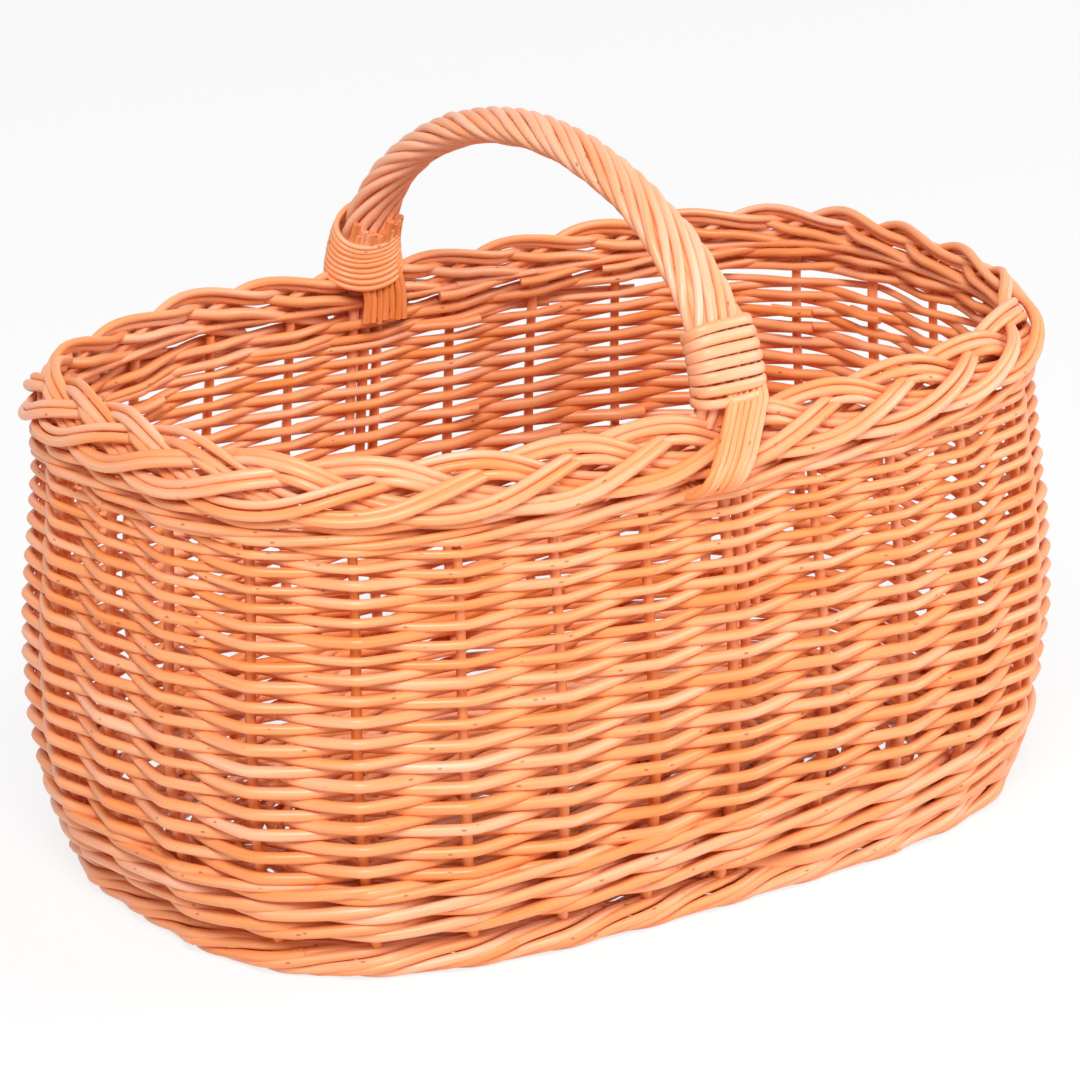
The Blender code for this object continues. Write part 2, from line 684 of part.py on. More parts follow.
def make_lashing(name, route_shares, facing, back, material):
    """A band of rods from under the collar, hooked over the border. It faces out of the basket or into it."""
    clear = PLAIT_PRESSED_SHARE * PLAIT_HALF_THICKNESS + CLEARANCE + LASHING_THICKNESS / 2
    half = PLAIT_BAND_WIDTH / 2
    places = []
    for down, out in route_shares:
        step = PLAIT_DOWN * half * down + PLAIT_OUT * clear * out
        places.append((BOW_LEAN, -(PLAIT_HALF_WIDTH + step[0]), PLAIT_LEVEL + step[1]))
    points = np.array(places)
    normals = facing * unit(np.cross(unit(np.gradient(points, axis=0)), HANDLE_SIDE))
    if back:
        points = points * np.array([-1, -1, 1])
        normals = normals * np.array([-1, -1, 1])
    sweep(name, points, normals, lashing_outline(), material)


def make_basket():
    clear_scene()
    pale = willow("peeled_willow", (0.78, 0.45, 0.22), 0.45)
    honey = willow("honey_willow", (0.70, 0.36, 0.15), 0.45)
    stick = willow("stick_willow", (0.62, 0.30, 0.12), 0.55)
    skein = willow("split_skein", (0.80, 0.48, 0.26), 0.40)
    make_stakes(stick)
    make_weave(pale, honey)
    make_plait(honey, make_bow_cutters(honey))
    make_foot(honey)
    make_base_sticks(stick)
    make_base_weaver(pale)
    make_bow(stick)
    make_wraps(pale)
    make_collar("front_collar", FRONT_COLLAR_TURNS, FRONT_SKEIN_WIDTH, FRONT_SKEIN_THICKNESS, False, skein)
    make_collar("back_collar", BACK_COLLAR_TURNS, BACK_SKEIN_WIDTH, BACK_SKEIN_THICKNESS, True, skein)
    for side, back in (("front", False), ("back", True)):
        make_lashing(f"{side}_outer_lashing", OUTER_ROUTE_SHARES, 1, back, skein)
        make_lashing(f"{side}_inner_lashing", INNER_ROUTE_SHARES, -1, back, skein)


make_basket()
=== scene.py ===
import math

import bpy
import numpy as np
from mathutils import Matrix, Vector


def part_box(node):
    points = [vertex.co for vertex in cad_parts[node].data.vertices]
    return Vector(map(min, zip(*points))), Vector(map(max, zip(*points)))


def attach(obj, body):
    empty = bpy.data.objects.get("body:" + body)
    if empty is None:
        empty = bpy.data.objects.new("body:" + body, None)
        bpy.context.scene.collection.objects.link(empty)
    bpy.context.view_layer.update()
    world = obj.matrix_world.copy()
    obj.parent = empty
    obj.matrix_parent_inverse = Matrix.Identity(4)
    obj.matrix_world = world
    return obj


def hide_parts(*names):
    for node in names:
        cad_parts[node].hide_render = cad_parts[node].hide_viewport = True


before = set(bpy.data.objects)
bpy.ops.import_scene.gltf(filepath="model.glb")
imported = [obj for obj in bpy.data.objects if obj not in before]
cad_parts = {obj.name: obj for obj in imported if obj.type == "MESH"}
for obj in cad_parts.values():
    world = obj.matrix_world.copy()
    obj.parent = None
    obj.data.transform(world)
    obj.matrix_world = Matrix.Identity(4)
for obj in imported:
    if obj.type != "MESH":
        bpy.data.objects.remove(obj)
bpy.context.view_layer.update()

# Oval foraging basket of peeled willow. Metres, +Z up, X along the oval, the handle over the YZ plane.
# Every rod is a tube of its own, woven, plaited or wound on the stakes, border and handle of the frame.
# Travel round the oval is counted in stakes, from the handle's front foot towards +X.

draw = np.random.default_rng(28)
upward = np.array([0.0, 0.0, 1.0])
fullTurn = 2 * math.pi
stakeCount = 28
halfRound = stakeCount // 2  # stakes from one foot of the handle to the other
ovalPower = 3.1  # shape of the oval, as the frame has it


# Small helpers

def placed(name, data):
    thing = bpy.data.objects.new(name, data)
    bpy.context.scene.collection.objects.link(thing)
    return thing


def unit(vectors):
    return vectors / np.linalg.norm(vectors, axis=-1, keepdims=True)


def eased(share):
    share = np.clip(share, 0, 1)
    return share * share * (3 - 2 * share)


def hump(distance, width):
    # 1 in the middle, falling off on both sides
    return np.exp(-((distance / width) ** 2))


def easedNoise(places, spacing, size):
    # random values, one for each spacing along the places, eased from one to the next. Where a noise is
    # given as a pair below, that is its spacing and size
    steps = (places - places[0]) / spacing
    whole = steps.astype(int)
    values = draw.normal(0, size, whole[-1] + 2)
    part = eased(steps - whole)
    return values[whole] * (1 - part) + values[whole + 1] * part


def reachAlong(points):
    # how far each point lies along the line
    return np.concatenate([[0], np.cumsum(np.linalg.norm(np.diff(points, axis=0), axis=1))])


def pointsAt(wanted, reach, points):
    return np.stack([np.interp(wanted, reach, points[:, k]) for k in range(points.shape[1])], axis=-1)


def bentThrough(travel, stations, values, softness):
    # straight runs from station to station with rounded bends, measured in stakes
    gridStep = 1 / 48
    grid = np.arange(travel[0] - 1, travel[-1] + 1, gridStep)
    line = np.interp(grid, stations, values)
    width = max(1, round(softness / gridStep))
    kernel = np.ones(width) / width
    for smoothing in range(2):
        line = np.convolve(line, kernel, mode="same")
    return np.interp(travel, grid, line)


def curveThrough(points, count):
    # a smooth curve through a few points, evenly stepped
    stepsBetween = 24
    points = np.asarray(points, float)
    padded = np.concatenate([2 * points[:1] - points[1:2], points, 2 * points[-1:] - points[-2:-1]])
    share = np.linspace(0, 1, stepsBetween, endpoint=False)[:, None]
    dense = []
    for i in range(1, len(padded) - 2):
        a, b, c, d = padded[i - 1:i + 3]
        square = 2 * a - 5 * b + 4 * c - d
        cube = 3 * b - a - 3 * c + d
        dense.append(0.5 * (2 * b + (c - a) * share + square * share**2 + cube * share**3))
    dense = np.concatenate(dense + [points[-1:]])
    reach = reachAlong(dense)
    return pointsAt(np.linspace(0, reach[-1], count), reach, dense)


# Rods

rodLook = {
    "knotSpacing": 0.075,
    "knotSwelling": 0.09,
    "knotLength": 0.003,
    "tone": 0.5,  # from deep at 0 to pale at 1
    "toneSpread": 0.15,
    "toneTop": 1.1,
    "endDome": 0.2,  # height of the dome on a cut end, in radii
    "grainRoom": 50,  # each rod's grain starts somewhere in this length
    "sharpAngle": math.radians(60),
}


def oneRod(points, radius, hint, wide=1.0, thick=1.0, paler=0.0, knots=True):
    # a rod's path and thickness, with a slight swelling at each leaf scar. hint points out of its upper side
    look = rodLook
    points = np.asarray(points, float)
    hint = np.broadcast_to(hint, points.shape)
    radius = np.broadcast_to(radius, len(points)).astype(float)
    wide = np.broadcast_to(wide, len(points))
    thick = np.broadcast_to(thick, len(points))
    if knots:
        along = reachAlong(points)
        for knot in draw.uniform(0, along[-1], int(along[-1] / look["knotSpacing"])):
            radius = radius * (1 + look["knotSwelling"] * hump(along - knot, look["knotLength"]))
    tone = float(np.clip(draw.normal(look["tone"] + paler, look["toneSpread"]), 0, look["toneTop"]))
    return {"points": points, "radius": radius, "hint": hint, "wide": wide, "thick": thick, "tone": tone}


def rodSurface(rod, sides):
    # the points round a rod and on its two ends, and how far across, above and along the rod each one lies
    points = rod["points"]
    circle = np.arange(sides) * fullTurn / sides
    tangent = unit(np.gradient(points, axis=0))
    side = unit(np.cross(tangent, rod["hint"]))
    out = np.cross(side, tangent)
    across = (rod["radius"] * rod["wide"])[:, None, None] * np.cos(circle)[None, :, None]
    above = (rod["radius"] * rod["thick"])[:, None, None] * np.sin(circle)[None, :, None]
    body = points[:, None] + across * side[:, None] + above * out[:, None]
    dome = rodLook["endDome"] * rod["radius"][[0, -1], None] * tangent[[0, -1]]
    ends = points[[0, -1]] + dome * np.array([[-1], [1]])
    along = reachAlong(points) + draw.uniform(0, rodLook["grainRoom"])
    space = np.stack([across[..., 0], above[..., 0], np.repeat(along[:, None], sides, axis=1)], axis=-1)
    endSpace = np.array([[0, 0, along[0]], [0, 0, along[-1]]])
    return np.concatenate([body.reshape(-1, 3), ends]), np.concatenate([space.reshape(-1, 3), endSpace])


def rodFaces(count, sides, first):
    # faces between the rings of points, and fans from them to the two ends
    order = np.arange(sides)
    after = (order + 1) % sides
    ring = first + np.arange(count)[:, None] * sides
    corners = [ring[:-1] + order, ring[1:] + order, ring[1:] + after, ring[:-1] + after]
    quads = np.stack(corners, axis=-1).reshape(-1, 4)
    last = first + (count - 1) * sides
    near, far = first + count * sides, first + count * sides + 1
    nearFan = np.stack([np.full(sides, near), first + order, first + after], axis=-1)
    farFan = np.stack([np.full(sides, far), last + after, last + order], axis=-1)
    return quads, np.concatenate([nearFan, farFan])


def rodMesh(name, rods, slot, nodes, sides=10):
    # one mesh of many rods, with attributes that the willow finishes read
    surfaces, faces, tones, cuts = [], [], [], []
    first = 0
    for rod in rods:
        count = len(rod["points"])
        surfaces.append(rodSurface(rod, sides))
        faces.append(rodFaces(count, sides, first))
        tones.append(np.full(count * sides + 2, rod["tone"]))
        cuts.append(np.repeat([0.0, 1.0], [count * sides, 2]))
        first += count * sides + 2
    places, spaces = [np.concatenate(part) for part in zip(*surfaces)]
    quads, fans = [np.concatenate(part) for part in zip(*faces)]
    mesh = bpy.data.meshes.new(name)
    mesh.vertices.add(len(places))
    mesh.vertices.foreach_set("co", places.astype(np.float32).ravel())
    mesh.loops.add(quads.size + fans.size)
    corners = np.concatenate([quads.ravel(), fans.ravel()])
    mesh.loops.foreach_set("vertex_index", corners.astype(np.int32))
    mesh.polygons.add(len(quads) + len(fans))
    starts = np.concatenate([np.arange(len(quads)) * 4, quads.size + np.arange(len(fans)) * 3])
    mesh.polygons.foreach_set("loop_start", starts.astype(np.int32))
    mesh.update(calc_edges=True)
    mesh.shade_smooth()
    mesh.set_sharp_from_angle(angle=rodLook["sharpAngle"])
    for layer, values in (("rodTone", tones), ("rodCut", cuts)):
        attribute = mesh.attributes.new(layer, "FLOAT", "POINT")
        attribute.data.foreach_set("value", np.concatenate(values).astype(np.float32))
    spaceLayer = mesh.attributes.new("rodSpace", "FLOAT_VECTOR", "POINT")
    spaceLayer.data.foreach_set("vector", spaces.astype(np.float32).ravel())
    mesh.materials.append(finishes[slot])
    piece = placed(name, mesh)
    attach(piece, "root")
    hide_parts(*nodes)


# Willow finishes

willowLook = {
    "deepColour": (0.800, 0.212, 0.026),
    "warmColour": (0.925, 0.340, 0.126),
    "paleColour": (0.980, 0.530, 0.350),
    "colourPlaces": (0.15, 0.5, 0.86),  # where these three lie, from deep at 0 to pale at 1
    "toneWeight": 0.45,
    "fibreWeight": 0.30,
    "streakWeight": 0.45,
    "mottleWeight": 0.50,
    "shift": -0.35,
    "scarColour": (0.260, 0.070, 0.020),
    "scarStrength": 0.7,
    "scarSize": 0.15,
    "scarCore": 0.5,
    "scarShare": 0.35,
    "cutColour": (0.420, 0.150, 0.055),
    "cutStrength": 0.8,
    "roughness": 0.38,
    "roughnessSpread": 0.24,
    "specular": 0.5,
    "bumpStrength": 0.6,
    "bumpHeight": 0.00022,
    "fibreRelief": 0.35,
    "mottleRelief": 0.8,
    "scarRelief": 0.8,
}
grainScale = {
    "fibre": (1100, 1100, 26),
    "streak": (420, 420, 12),
    "mottle": (110, 110, 18),
    "scars": (230, 230, 105),
}
grainDetail = {"fibre": 3.0, "streak": 2.0, "mottle": 2.0}


def willowFinish(name, look, lift=0.0):
    # a tone for each rod, long fibres and streaks, mottling, small leaf scars and darker cut ends
    material = bpy.data.materials.new(name)
    material.use_nodes = True
    nodes, links = material.node_tree.nodes, material.node_tree.links
    shader = nodes["Principled BSDF"]

    def reading(attribute, output="Fac"):
        node = nodes.new("ShaderNodeAttribute")
        node.attribute_name = attribute
        return node.outputs[output]

    def reckon(operation, a, b):
        node = nodes.new("ShaderNodeMath")
        node.operation = operation
        for socket, value in zip(node.inputs, (a, b)):
            if isinstance(value, (int, float)):
                socket.default_value = value
            else:
                links.new(value, socket)
        return node.outputs[0]

    def along(scale):
        mapping = nodes.new("ShaderNodeMapping")
        mapping.inputs["Scale"].default_value = scale
        links.new(space, mapping.inputs["Vector"])
        return mapping.outputs["Vector"]

    def cloud(scale, detail):
        noise = nodes.new("ShaderNodeTexNoise")
        noise.inputs["Scale"].default_value = 1.0
        noise.inputs["Detail"].default_value = detail
        links.new(along(scale), noise.inputs["Vector"])
        return noise.outputs["Fac"]

    def ramped(amount, places, colours):
        ramp = nodes.new("ShaderNodeValToRGB")
        elements = ramp.color_ramp.elements
        while len(elements) < len(places):
            elements.new(0.5)
        for element, place, colour in zip(elements, places, colours):
            element.position = place
            element.color = (*colour, 1)
        links.new(amount, ramp.inputs["Fac"])
        return ramp.outputs["Color"]

    def blended(amount, colour, over):
        mix = nodes.new("ShaderNodeMix")
        mix.data_type = "RGBA"
        links.new(amount, mix.inputs[0])  # inputs 6 and 7 and output 2 are the ones for colours
        links.new(colour, mix.inputs[6])
        mix.inputs[7].default_value = (*over, 1)
        return mix.outputs[2]

    space = reading("rodSpace", "Vector")
    grain = {part: cloud(grainScale[part], detail) for part, detail in grainDetail.items()}
    amount = reckon("MULTIPLY", reading("rodTone"), look["toneWeight"])
    for part, layer in grain.items():
        amount = reckon("ADD", amount, reckon("MULTIPLY", layer, look[part + "Weight"]))
    amount = reckon("ADD", amount, lift + look["shift"])
    willowColours = look["deepColour"], look["warmColour"], look["paleColour"]
    colour = ramped(amount, look["colourPlaces"], willowColours)

    scars = nodes.new("ShaderNodeTexVoronoi")
    scars.inputs["Scale"].default_value = 1.0
    links.new(along(grainScale["scars"]), scars.inputs["Vector"])
    spotPlaces = look["scarSize"] * look["scarCore"], look["scarSize"]
    spot = ramped(scars.outputs["Distance"], spotPlaces, ((1, 1, 1), (0, 0, 0)))
    scar = reckon("MULTIPLY", spot, reckon("LESS_THAN", scars.outputs["Color"], look["scarShare"]))
    colour = blended(reckon("MULTIPLY", scar, look["scarStrength"]), colour, look["scarColour"])
    colour = blended(reckon("MULTIPLY", reading("rodCut"), look["cutStrength"]), colour, look["cutColour"])
    links.new(colour, shader.inputs["Base Color"])

    leastRough = look["roughness"] - look["roughnessSpread"] / 2
    rough = reckon("ADD", reckon("MULTIPLY", grain["mottle"], look["roughnessSpread"]), leastRough)
    links.new(rough, shader.inputs["Roughness"])
    fibreRelief = reckon("MULTIPLY", grain["fibre"], look["fibreRelief"])
    mottleRelief = reckon("MULTIPLY", grain["mottle"], look["mottleRelief"])
    relief = reckon("ADD", fibreRelief, mottleRelief)
    relief = reckon("SUBTRACT", relief, reckon("MULTIPLY", scar, look["scarRelief"]))
    bump = nodes.new("ShaderNodeBump")
    bump.inputs["Strength"].default_value = look["bumpStrength"]
    bump.inputs["Distance"].default_value = look["bumpHeight"]
    links.new(relief, bump.inputs["Height"])
    links.new(bump.outputs["Normal"], shader.inputs["Normal"])
    shader.inputs["Specular IOR Level"].default_value = look["specular"]
    return material


finishes = {
    "peeled_willow": willowFinish("peeledWillow", willowLook),
    "honey_willow": willowFinish("honeyWillow", willowLook, lift=0.01),
    "stick_willow": willowFinish("stickWillow", willowLook, lift=-0.01),
    "split_skein": willowFinish("splitSkein", willowLook),
}
print("finishes made")


# The oval wall, read from the frame's stakes

wallFit = {
    "order": 3,  # of the two curves through the stakes
    "ringGap": 0.005,
    "bellyLevel": 0.120,
    "girthSteps": 2881,
}


def ringCentres(name):
    # centres of the rings of a frame stake, from its foot to its tip
    points = np.array([v.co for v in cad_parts[name].data.vertices])
    points = np.unique(np.round(points, 6), axis=0)
    points = points[np.argsort(points[:, 2])]
    breaks = np.flatnonzero(np.diff(points[:, 2]) > wallFit["ringGap"]) + 1
    return np.array([group.mean(axis=0) for group in np.split(points, breaks)])


endStake = ringCentres("stake_08")
sideStake = ringCentres("stake_01")
lengthCurve = np.polyfit(endStake[:, 2], np.abs(endStake[:, 0]), wallFit["order"])
widthCurve = np.polyfit(sideStake[:, 2], np.abs(sideStake[:, 1]), wallFit["order"])
stakeFoot, stakeTop = sideStake[0, 2], sideStake[-1, 2]


def oval(halfLength, halfWidth, angle):
    cosine, sine = np.cos(angle), np.sin(angle)
    bend = 2 / ovalPower
    x = halfLength * np.sign(cosine) * np.abs(cosine) ** bend
    y = halfWidth * np.sign(sine) * np.abs(sine) ** bend
    return np.stack([x, y], axis=-1)


def ovalNormal(halfLength, halfWidth, angle):
    cosine, sine = np.cos(angle), np.sin(angle)
    bend = 2 - 2 / ovalPower
    x = np.sign(cosine) * np.abs(cosine) ** bend / halfLength
    y = np.sign(sine) * np.abs(sine) ** bend / halfWidth
    return unit(np.stack([x, y], axis=-1))


bellyHalf = [np.polyval(curve, wallFit["bellyLevel"]) for curve in (lengthCurve, widthCurve)]
girthAngles = np.linspace(-math.pi / 2, 1.5 * math.pi, wallFit["girthSteps"])
girthReach = reachAlong(oval(*bellyHalf, girthAngles))
stakePitch = girthReach[-1] / stakeCount


def angleAt(travel):
    return np.interp(np.mod(travel / stakeCount, 1.0) * girthReach[-1], girthReach, girthAngles)


endLift = {
    "left": 0.0070,
    "right": 0.0070,
    "from": 0.100,
    "to": 0.200,
    "above": 1.1,  # how far the lift goes on above that, as a share
    "lateness": 1.5,
    "leftSharpness": 2,
    "rightSharpness": 3,
    "back": 0.0045,
    "backAngle": 1.84,
    "backWidth": 0.22,
}


def endRise(angle, level):
    # how far the top of the wall swings up at the two ends of the oval, and beside the handle's back foot
    look = endLift
    share = (level - look["from"]) / (look["to"] - look["from"])
    share = np.clip(share, 0, look["above"]) ** look["lateness"]
    toRight = np.clip(np.cos(angle), 0, 1) ** look["rightSharpness"]
    toLeft = np.clip(-np.cos(angle), 0, 1) ** look["leftSharpness"]
    toBack = hump(np.mod(angle, fullTurn) - look["backAngle"], look["backWidth"])
    return (look["right"] * toRight + look["left"] * toLeft + look["back"] * toBack) * share


def wall(travel, level, offset=0.0):
    # points on the surface of the stakes, moved out by the offset, and the directions out of the wall
    halfLength, halfWidth = np.polyval(lengthCurve, level), np.polyval(widthCurve, level)
    angle = angleAt(travel)
    normal = ovalNormal(halfLength, halfWidth, angle)
    place = oval(halfLength, halfWidth, angle) + normal * np.expand_dims(offset, -1)
    level = level + endRise(angle, level)
    out = np.concatenate([normal, np.zeros((len(angle), 1))], axis=-1)
    return np.concatenate([place, level[:, None]], axis=-1), out


# Stakes

stakeRods = {
    "footRadius": 0.0025,
    "topRadius": 0.0021,
    "radiusNoise": 0.04,
    "footReach": 0.003,  # past both ends of the frame's stakes
    "topReach": 0.004,
    "steps": 26,
    "sway": (0.03, 0.0003),
    "drift": (0.04, 0.0003),
    "pairHalf": 0.0029,  # half the distance between a handle stake and the bow's end
}
pairHalf = stakeRods["pairHalf"] / stakePitch


def stakePlace(index):
    return index - (pairHalf if index % halfRound == 0 else 0)


def makeStakes():
    look = stakeRods
    level = np.linspace(stakeFoot - look["footReach"], stakeTop + look["topReach"], look["steps"])
    for index in range(stakeCount):
        sway = easedNoise(level, *look["sway"])
        drift = easedNoise(level, *look["drift"]) / stakePitch
        points, out = wall(stakePlace(index) + drift, level, sway)
        radius = np.linspace(look["footRadius"], look["topRadius"], look["steps"])
        rod = oneRod(points, radius * draw.normal(1, look["radiusNoise"]), out)
        rodMesh(f"stakeRod_{index + 1:02d}", [rod], "stick_willow", [f"stake_{index + 1:02d}"])


makeStakes()
print("stakes made")


# Weaving of the wall

weaving = {
    "gather": 0.5,  # how much closer the steps are where a rod bends round a stake
    "gap": 0.0002,
    "swell": 0.75,  # makes up for what the rounding takes off a bend
    "taper": (1.08, 0.92),
    "tuckReach": 0.5,
    "shiftSoftness": 0.4,
    "offsetNoise": (2.0, 0.0002),
}
underBorder = {"from": 0.1935, "to": 0.1995, "drawnIn": 0.0030}  # rows up here lean in, under the border


def stepped(first, last, steps):
    # travel from stake to stake, with shorter steps where a rod bends round a stake
    u = np.arange(round(first * steps), round(last * steps) + 1) / steps
    return u - weaving["gather"] * np.sin(fullTurn * u) / fullTurn


def uprights(first, last):
    # each stake that a rod passes from first to last, and two more, with a handle stake and its bow as two
    places = []
    for stake in range(math.floor(first) - 2, math.ceil(last) + 3):
        underHandle = stake % halfRound == 0
        places += [(stake, stake - pairHalf), (stake, stake + pairHalf)] if underHandle else [(stake, stake)]
    return places


def weaveRod(first, last, levelAt, radius, isOut, look, shift=lambda stake: 0.0):
    travel = stepped(first, last, look["stepsPerStake"])
    stations = uprights(first, last)
    where = np.array([place for _, place in stations])
    reach = (stakeRods["footRadius"] + radius + weaving["gap"]) * (1 + weaving["swell"] * look["softness"])
    offsets = np.array([reach if isOut(stake) else -reach for stake, _ in stations])
    offset = bentThrough(travel, where, offsets, look["softness"])
    shifts = np.array([shift(stake) for stake, _ in stations])
    level = levelAt(travel) + bentThrough(travel, where, shifts, weaving["shiftSoftness"])
    taper = np.linspace(*weaving["taper"], len(travel)) * draw.normal(1, look["radiusNoise"])
    level = level + easedNoise(travel, *look["levelNoise"])
    # the rod's start is tucked in behind the rod before it
    offset -= look["endTuck"] * radius * hump(travel - travel[0], weaving["tuckReach"])
    offset += easedNoise(travel, *weaving["offsetNoise"])
    lean = eased((level - underBorder["from"]) / (underBorder["to"] - underBorder["from"]))
    points, out = wall(travel, level, offset - underBorder["drawnIn"] * lean)
    return oneRod(points, radius * taper, upward)


# Siding: two rods to a row, in front of one stake and behind the next

sideWeave = {
    "groups": 7,
    "rowsInGroup": 5,
    "low": 0.0400,
    "high": 0.1865,
    "firstToLast": 1.60,  # pitch of the lowest row as a share of the highest
    "lowThickness": 1.03,  # rod diameter as a share of the pitch, at the bottom and at the top
    "highThickness": 1.12,
    "softness": 0.08,
    "levelNoise": (1.0, 0.0003),
    "radiusNoise": 0.06,
    "stepsPerStake": 12,
    "rodEnd": 0.36,  # how far both ends of a rod reach past its stakes
    "endTuck": 2.0,
}


def makeSideWeave():
    look = sideWeave
    rows = look["groups"] * look["rowsInGroup"]
    span = look["high"] - look["low"]
    lastPitch = span / (rows * (1 + look["firstToLast"]) / 2)
    firstPitch = look["firstToLast"] * lastPitch
    for group in range(look["groups"]):
        rods = []
        for row in range(group * look["rowsInGroup"], (group + 1) * look["rowsInGroup"]):
            middle = row + 0.5
            level = look["low"] + firstPitch * middle + (lastPitch - firstPitch) * middle**2 / (2 * rows)
            thickness = look["lowThickness"] + (look["highThickness"] - look["lowThickness"]) * middle / rows
            radius = thickness * (firstPitch + (lastPitch - firstPitch) * middle / rows) / 2
            isOut = lambda stake, row=row: (stake + row) % 2 == 0
            levelAt = lambda travel, level=level: level
            # each rod ends inside, where the next one starts beside it
            start = 2 * int(draw.integers(0, halfRound)) + (1 if isOut(0) else 0)
            for first in (start, start + halfRound):
                last = first + halfRound + look["rodEnd"]
                rods.append(weaveRod(first - look["rodEnd"], last, levelAt, radius, isOut, look))
        rodMesh(f"sideWeave_{group + 1}", rods, "peeled_willow", [f"side_weaver_{group + 1}"])


makeSideWeave()
print("siding woven")


# Waling: three rods at a time, each out round two stakes and in behind the third

waling = {
    "levels": (0.0, -0.5, 0.5),  # of a rod behind one stake and in front of the next two, in diameters
    "lapRows": 2,
    "spareRows": 0.6,
    "softness": 0.18,
    "rodEnd": 0.3,
    "endTuck": 0.8,
}
footWale = waling | {
    "low": 0.0105,
    "high": 0.0410,
    "firstLap": 0.0,
    "laps": 3,
    "thickness": 1.04,
    "levelNoise": (1.0, 0.0003),
    "radiusNoise": 0.07,
    "stepsPerStake": 12,
    "rodStakes": 21,
}
topWale = waling | {
    "low": 0.1855,
    "high": 0.2005,
    "firstLap": -0.6,
    "laps": 2,
    "thickness": 1.24,
    "levelNoise": (1.0, 0.0002),
    "radiusNoise": 0.06,
    "stepsPerStake": 10,
    "rodStakes": 14,
}


def makeWale(name, look, node):
    levels = look["levels"]
    rows = look["lapRows"] * look["laps"] + look["spareRows"]
    rowPitch = (look["high"] - look["low"]) / rows
    diameter = rowPitch * look["thickness"]
    lapPitch = look["lapRows"] * rowPitch
    rods = []
    for rodIndex in range(len(levels)):
        isOut = lambda stake: (stake - rodIndex) % len(levels) != 0
        shift = lambda stake: levels[(stake - rodIndex) % len(levels)] * diameter
        levelAt = lambda travel: look["low"] + diameter + lapPitch * travel / stakeCount
        first = rodIndex + round(stakeCount * look["firstLap"])
        end = first + round(stakeCount * look["laps"])
        while first < end:
            last = min(first + look["rodStakes"], end)
            start, stop = first - look["rodEnd"], last + look["rodEnd"]
            rods.append(weaveRod(start, stop, levelAt, diameter / 2, isOut, look, shift))
            first = last
    rodMesh(name, rods, "honey_willow", [node])


makeWale("footWale", footWale, "foot_waling")
makeWale("topWale", topWale, "top_waling")
print("waling woven")


# Plaited border: 28 rods, each for five legs of the plait. Three lie side by side where the plait goes
# down, and two where it comes up

borderPlait = {
    "slant": math.radians(52),
    "bandWidth": 0.0325,
    "rodRadius": 0.0020,
    "radiusNoise": 0.05,
    "taper": (1.10, 0.88),
    "depth": 0.0031,
    "calm": 0.30,  # how much less the rods weave in and out at both edges
    "lay": (1.0, 0.5, 0.0, -0.5, -1.0),  # place beside the others on each leg, in rods
    "spread": 1.04,
    "stepsPerStake": 10,
    "firstStake": -1.5,
    "lastStake": 12.1,
    "bornUnder": 0.0068,  # how far under the band a new rod starts
    "bornLeg": 0.34,
    "bornLength": 0.42,
    "cutDown": 0.0010,  # where the cut ends lie, inside and under the band
    "cutUnder": 0.0082,
    "cutLeg": 4.75,
    "cutLength": 0.5,
    "downNoise": (2.0, 0.00035),
    "outNoise": (1.5, 0.00015),
    "paler": 0.10,
    "swingInset": 3,  # in radii, as the next one is
    "edge": 2.2,
    "edgeSteps": 720,
}
borderNodes = ["plaited_border", "plaited_border_2", "plaited_border_3", "plaited_border_4"]
borderReach = np.abs(np.array([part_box(node) for node in borderNodes])).max(axis=(0, 1))
plaitDown = np.array([math.cos(borderPlait["slant"]), -math.sin(borderPlait["slant"])])
plaitOut = np.array([math.sin(borderPlait["slant"]), math.cos(borderPlait["slant"])])
plaitSwing = borderPlait["bandWidth"] / 2 - borderPlait["swingInset"] * borderPlait["rodRadius"]


def plaitPath(phase):
    # down the border's face and out of it: over one and under two on the way down, over two and under one
    # on the way up
    down = plaitSwing * np.sin(phase)
    depth = borderPlait["depth"] * (1 - borderPlait["calm"] * np.sin(phase) ** 2)
    out = -depth * (np.cos(2 * phase) * np.cos(phase) + np.sin(2 * phase))
    return down, out


pathDown, pathOut = plaitPath(np.linspace(0, fullTurn, borderPlait["edgeSteps"]))
pathPlaces = pathDown[:, None] * plaitDown + pathOut[:, None] * plaitOut
plaitEdge, plaitRise = pathPlaces.max(axis=0) + borderPlait["edge"] * borderPlait["rodRadius"]
borderHalfLength, borderHalfWidth = borderReach[0] - plaitEdge, borderReach[1] - plaitEdge
borderLevel = borderReach[2] - plaitRise


def borderFrame(travel):
    # middle of the border, and the directions down its face and out of it
    angle = angleAt(travel)
    centre = oval(borderHalfLength, borderHalfWidth, angle)
    normal = ovalNormal(borderHalfLength, borderHalfWidth, angle)
    level = borderLevel + endRise(angle, borderLevel)
    directions = []
    for aside, up in (plaitDown, plaitOut):
        directions.append(np.concatenate([normal * aside, np.full((len(angle), 1), up)], axis=-1))
    return np.concatenate([centre, level[:, None]], axis=-1), *directions


